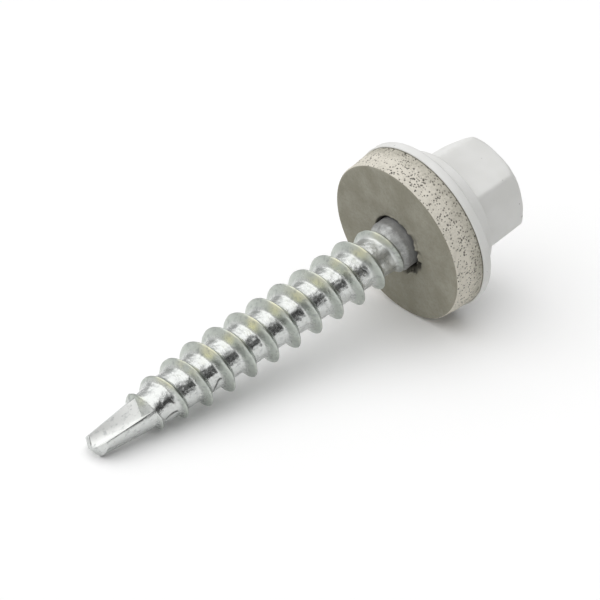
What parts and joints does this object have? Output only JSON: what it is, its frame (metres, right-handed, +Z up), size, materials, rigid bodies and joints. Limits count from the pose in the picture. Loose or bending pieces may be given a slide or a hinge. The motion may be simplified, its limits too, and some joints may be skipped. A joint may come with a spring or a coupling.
{
  "type": "self-drilling screw",
  "caption": "Hex washer head self-drilling screw with coarse spaced thread, fluted drill point and a captive steel and rubber sealing washer.",
  "frame": {"origin": "on the floor, under the middle of the lying screw's box", "axes": "+X from the drill point to the head, +Z up from the floor; the screw's own axis leans up towards the head by 10.63 degrees in the XZ plane"},
  "size_m": [0.0408, 0.014, 0.0141],
  "materials": {
    "zinc_plated_steel": "bright zinc plated thread and point, head sprayed satin light grey",
    "painted_steel": "satin light grey paint",
    "epdm_rubber": "matt khaki grey rubber, paint overspray on its edge"
  },
  "bodies": {
    "screw": {"screw": "zinc_plated_steel"},
    "washer": {"washer_plate": "painted_steel", "epdm_seal": "epdm_rubber"}
  },
  "joints": [
    {"name": "washer_spin", "type": "hinge", "parent": "screw", "child": "washer", "pos_m": [0.01014, 0, 0.00658], "axis": [0.9828, 0, 0.1845], "continuous": true}
  ]
}
